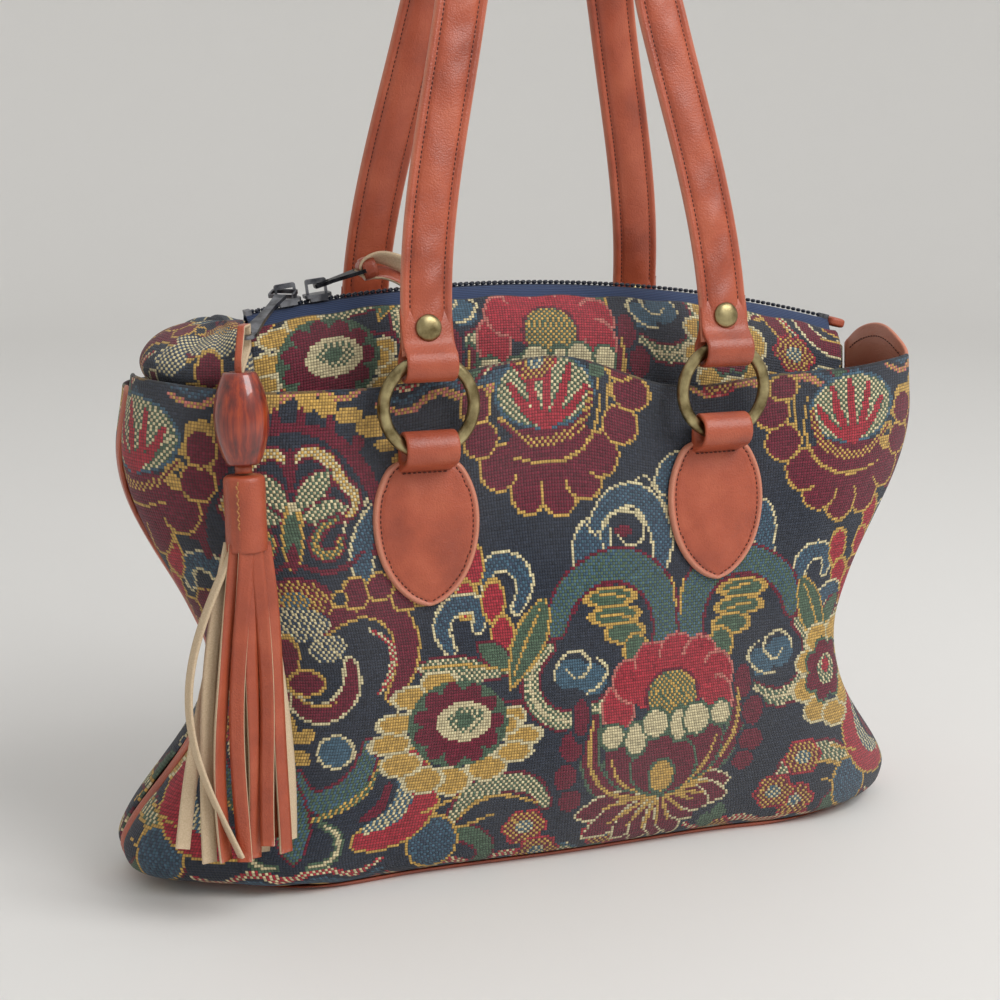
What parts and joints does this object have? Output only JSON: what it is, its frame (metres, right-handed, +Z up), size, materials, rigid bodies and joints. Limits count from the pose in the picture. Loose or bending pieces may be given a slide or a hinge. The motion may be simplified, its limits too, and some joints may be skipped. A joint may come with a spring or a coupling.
{
  "type": "carpet bag",
  "caption": "Soft winged tote in tapestry cloth with leather gussets, a zipped section between slip pockets, shoulder straps on rings and a bead tassel.",
  "frame": {"origin": "under the middle of the front and back panels, on the base's flat underside", "axes": "+X along the bag towards its free zip end, +Y towards the back panel, +Z up"},
  "size_m": [0.4208, 0.1515, 0.5207],
  "materials": {
    "tapestry": "woven",
    "cognac_leather": "grained",
    "lining": "woven",
    "zip_tape": "woven",
    "zip_teeth": "satin",
    "antique_brass": "antique",
    "gunmetal": "dark plated",
    "polished_wood": "polished"
  },
  "bodies": {
    "bag": {"front_panel": "tapestry", "back_panel": "tapestry", "base_panel": "cognac_leather", "left_gusset": "cognac_leather", "right_gusset": "cognac_leather", "front_zip_strip": "tapestry", "back_zip_strip": "tapestry", "zip_left_end": "tapestry", "zip_right_end": "tapestry", "inner_pouch": "lining", "front_zip_tape": "zip_tape", "back_zip_tape": "zip_tape", "zip_teeth": "zip_teeth", "zip_stops": "gunmetal", "zip_end_tab": "cognac_leather", "front_left_tab": "cognac_leather", "front_right_tab": "cognac_leather", "back_left_tab": "cognac_leather", "back_right_tab": "cognac_leather"},
    "left_slider": {"left_slider": "gunmetal"},
    "left_pull": {"left_pull": "gunmetal"},
    "tassel": {"tassel_loop": "cognac_leather", "tassel_bead": "polished_wood", "tassel_neck": "cognac_leather", "tassel_collar": "cognac_leather", "tassel_strips": "cognac_leather"},
    "right_slider": {"right_slider": "gunmetal"},
    "right_pull": {"right_pull": "gunmetal", "pull_thong": "cognac_leather"},
    "front_rings": {"front_rings": "antique_brass"},
    "front_handle": {"front_strap": "cognac_leather", "front_rivets": "antique_brass"},
    "back_rings": {"back_rings": "antique_brass"},
    "back_handle": {"back_strap": "cognac_leather", "back_rivets": "antique_brass"}
  },
  "joints": [
    {"name": "left_slider_travel", "type": "hinge", "parent": "bag", "child": "left_slider", "pos_m": [-0.025, 0, -0.462], "axis": [0, 1, 0], "range_deg": [-0.8, 0]},
    {"name": "right_slider_travel", "type": "hinge", "parent": "bag", "child": "right_slider", "pos_m": [-0.025, 0, -0.462], "axis": [0, 1, 0], "range_deg": [0, 20.4]},
    {"name": "left_pull_lift", "type": "hinge", "parent": "left_slider", "child": "left_pull", "pos_m": [-0.12999, 0, 0.28786], "axis": [-0.8608, 0.5089, 0], "range_deg": [0, 90]},
    {"name": "tassel_swing", "type": "hinge", "parent": "left_pull", "child": "tassel", "pos_m": [-0.15879, -0.04872, 0.274], "axis": [-0.8608, 0.5089, 0], "range_deg": [0, 30]},
    {"name": "right_pull_lift", "type": "hinge", "parent": "right_slider", "child": "right_pull", "pos_m": [-0.11485, 0, 0.28983], "axis": [0, -1, 0], "range_deg": [0, 75]},
    {"name": "front_rings_swing", "type": "hinge", "parent": "bag", "child": "front_rings", "pos_m": [0, -0.05754, 0.218], "axis": [1, 0, 0], "range_deg": [0, 90]},
    {"name": "front_handle_swing", "type": "hinge", "parent": "front_rings", "child": "front_handle", "pos_m": [0, -0.05754, 0.258], "axis": [1, 0, 0], "range_deg": [0, 80]},
    {"name": "back_rings_swing", "type": "hinge", "parent": "bag", "child": "back_rings", "pos_m": [0, 0.05754, 0.218], "axis": [-1, 0, 0], "range_deg": [0, 90]},
    {"name": "back_handle_swing", "type": "hinge", "parent": "back_rings", "child": "back_handle", "pos_m": [0, 0.05754, 0.258], "axis": [-1, 0, 0], "range_deg": [0, 80]}
  ]
}
